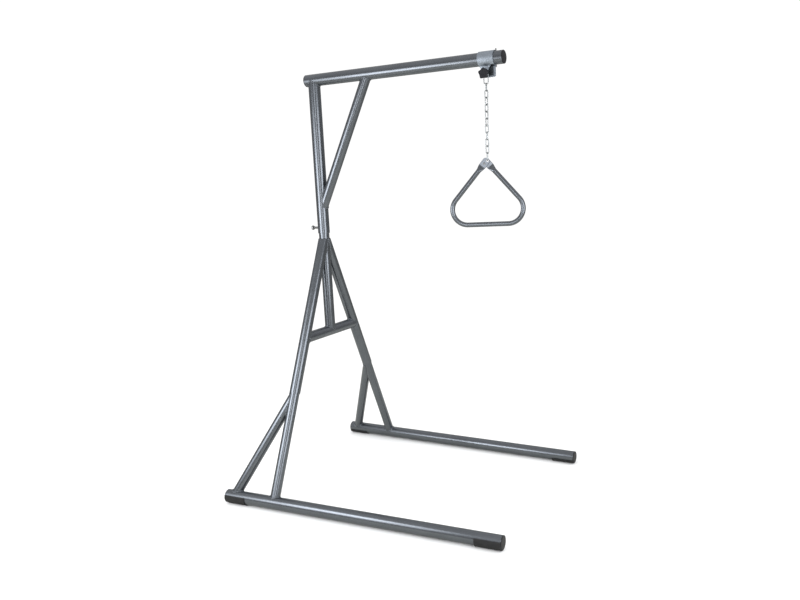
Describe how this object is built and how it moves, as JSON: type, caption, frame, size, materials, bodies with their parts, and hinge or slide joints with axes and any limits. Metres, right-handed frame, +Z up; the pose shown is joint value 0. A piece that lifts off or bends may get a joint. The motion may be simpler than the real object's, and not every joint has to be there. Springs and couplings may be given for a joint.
{
  "type": "bed trapeze",
  "caption": "Free-standing overhead bed trapeze: floor base, A-frame, swivelling mast and boom, and a triangular handle on a chain under a sliding clamp.",
  "frame": {"origin": "on the floor in the middle of the base's length and width", "axes": "+X is the way the boom points, +Y is left, +Z is up"},
  "size_m": [1.2204, 0.9852, 1.7678],
  "materials": {
    "silver_vein_paint": "hammered silver vein powder coat",
    "zinc_sheet": "zinc plated sheet",
    "zinc_chain": "bright zinc plated wire",
    "steel_bolt": "plated steel",
    "black_plastic": "moulded black plastic",
    "black_rubber": "black rubber"
  },
  "bodies": {
    "base": {"crossbar": "silver_vein_paint", "floor_brace_left": "silver_vein_paint", "floor_brace_right": "silver_vein_paint", "floor_pad_front_left": "black_rubber", "floor_pad_front_right": "black_rubber", "floor_pad_rear_left": "black_rubber", "floor_pad_rear_right": "black_rubber", "floor_plug_front_left": "black_plastic", "floor_plug_front_right": "black_plastic", "floor_plug_rear_left": "black_plastic", "floor_plug_rear_right": "black_plastic", "floor_tube_left": "silver_vein_paint", "floor_tube_right": "silver_vein_paint", "floor_upright_left": "silver_vein_paint", "floor_upright_right": "silver_vein_paint", "leg_left": "silver_vein_paint", "leg_right": "silver_vein_paint", "post": "silver_vein_paint"},
    "mast": {"mast": "silver_vein_paint", "boom": "silver_vein_paint", "boom_brace": "silver_vein_paint", "boom_plug_rear": "black_plastic", "boom_plug_front": "black_plastic", "stop_pin": "steel_bolt"},
    "set_bolt": {"set_bolt": "steel_bolt"},
    "clamp": {"clamp_strap": "zinc_sheet", "carriage_bolt": "steel_bolt"},
    "washer": {"washer": "zinc_sheet"},
    "knob": {"knob": "black_plastic"},
    "top_ring": {"top_ring": "zinc_chain"},
    "chain_link_01": {"chain_link_01": "zinc_chain"},
    "chain_link_02": {"chain_link_02": "zinc_chain"},
    "chain_link_03": {"chain_link_03": "zinc_chain"},
    "chain_link_04": {"chain_link_04": "zinc_chain"},
    "chain_link_05": {"chain_link_05": "zinc_chain"},
    "chain_link_06": {"chain_link_06": "zinc_chain"},
    "chain_link_07": {"chain_link_07": "zinc_chain"},
    "chain_link_08": {"chain_link_08": "zinc_chain"},
    "chain_link_09": {"chain_link_09": "zinc_chain"},
    "chain_link_10": {"chain_link_10": "zinc_chain"},
    "chain_link_11": {"chain_link_11": "zinc_chain"},
    "handle": {"handle": "silver_vein_paint", "handle_rivet": "steel_bolt"}
  },
  "joints": [
    {"name": "mast_swivel", "type": "hinge", "parent": "base", "child": "mast", "pos_m": [-0.37433, 0, 0.0287], "axis": [0, 0, 1], "continuous": true},
    {"name": "set_bolt_unscrew", "type": "slide", "parent": "mast", "child": "set_bolt", "axis": [-1, 0, 0], "range_m": [0, 0.006]},
    {"name": "clamp_slide", "type": "slide", "parent": "mast", "child": "clamp", "axis": [1, 0, 0], "range_m": [-0.4835, 0.0007]},
    {"name": "washer_loosen", "type": "slide", "parent": "clamp", "child": "washer", "axis": [0, -1, 0], "range_m": [0, 0.0025]},
    {"name": "knob_turn", "type": "hinge", "parent": "washer", "child": "knob", "pos_m": [0.42317, -0.02395, 1.6784], "axis": [0, -1, 0], "range_deg": [0, 720]},
    {"name": "ring_swing", "type": "hinge", "parent": "clamp", "child": "top_ring", "pos_m": [0.42317, 0, 1.6784], "axis": [0, 1, 0], "range_deg": [-20, 20]},
    {"name": "link_01_swing", "type": "hinge", "parent": "top_ring", "child": "chain_link_01", "pos_m": [0.4224, 0, 1.64011], "axis": [0.9998, 0, -0.02], "range_deg": [-20, 20]},
    {"name": "link_02_swing", "type": "hinge", "parent": "chain_link_01", "child": "chain_link_02", "pos_m": [0.42188, 0, 1.61411], "axis": [-0.1736, 0.9848, 0.0035], "range_deg": [-20, 20]},
    {"name": "link_03_swing", "type": "hinge", "parent": "chain_link_02", "child": "chain_link_03", "pos_m": [0.42136, 0, 1.58812], "axis": [-0.9998, 0, 0.02], "range_deg": [-20, 20]},
    {"name": "link_04_swing", "type": "hinge", "parent": "chain_link_03", "child": "chain_link_04", "pos_m": [0.42084, 0, 1.56212], "axis": [-0.3745, -0.9272, 0.0075], "range_deg": [-20, 20]},
    {"name": "link_05_swing", "type": "hinge", "parent": "chain_link_04", "child": "chain_link_05", "pos_m": [0.42032, 0, 1.53613], "axis": [0.9901, -0.1392, -0.0198], "range_deg": [-20, 20]},
    {"name": "link_06_swing", "type": "hinge", "parent": "chain_link_05", "child": "chain_link_06", "pos_m": [0.4198, 0, 1.51013], "axis": [0.4999, 0.866, -0.01], "range_deg": [-20, 20]},
    {"name": "link_07_swing", "type": "hinge", "parent": "chain_link_06", "child": "chain_link_07", "pos_m": [0.41928, 0, 1.48414], "axis": [-0.8986, 0.4384, 0.018], "range_deg": [-20, 20]},
    {"name": "link_08_swing", "type": "hinge", "parent": "chain_link_07", "child": "chain_link_08", "pos_m": [0.41876, 0, 1.45814], "axis": [-0.743, -0.6691, 0.0149], "range_deg": [-20, 20]},
    {"name": "link_09_swing", "type": "hinge", "parent": "chain_link_08", "child": "chain_link_09", "pos_m": [0.41824, 0, 1.43215], "axis": [0.6427, -0.766, -0.0129], "range_deg": [-20, 20]},
    {"name": "link_10_swing", "type": "hinge", "parent": "chain_link_09", "child": "chain_link_10", "pos_m": [0.41772, 0, 1.40616], "axis": [0.6427, 0.766, -0.0129], "range_deg": [-20, 20]},
    {"name": "link_11_swing", "type": "hinge", "parent": "chain_link_10", "child": "chain_link_11", "pos_m": [0.4172, 0, 1.38016], "axis": [-0.9742, 0.2249, 0.0195], "range_deg": [-20, 20]},
    {"name": "handle_swing", "type": "hinge", "parent": "chain_link_11", "child": "handle", "pos_m": [0.41668, 0, 1.35417], "axis": [0.2249, -0.9744, -0.0045], "range_deg": [-20, 20]}
  ],
  "couplings": [
    {"joint": "washer_loosen", "follows": "knob_turn", "m_per_rad": 0.00019894}
  ]
}
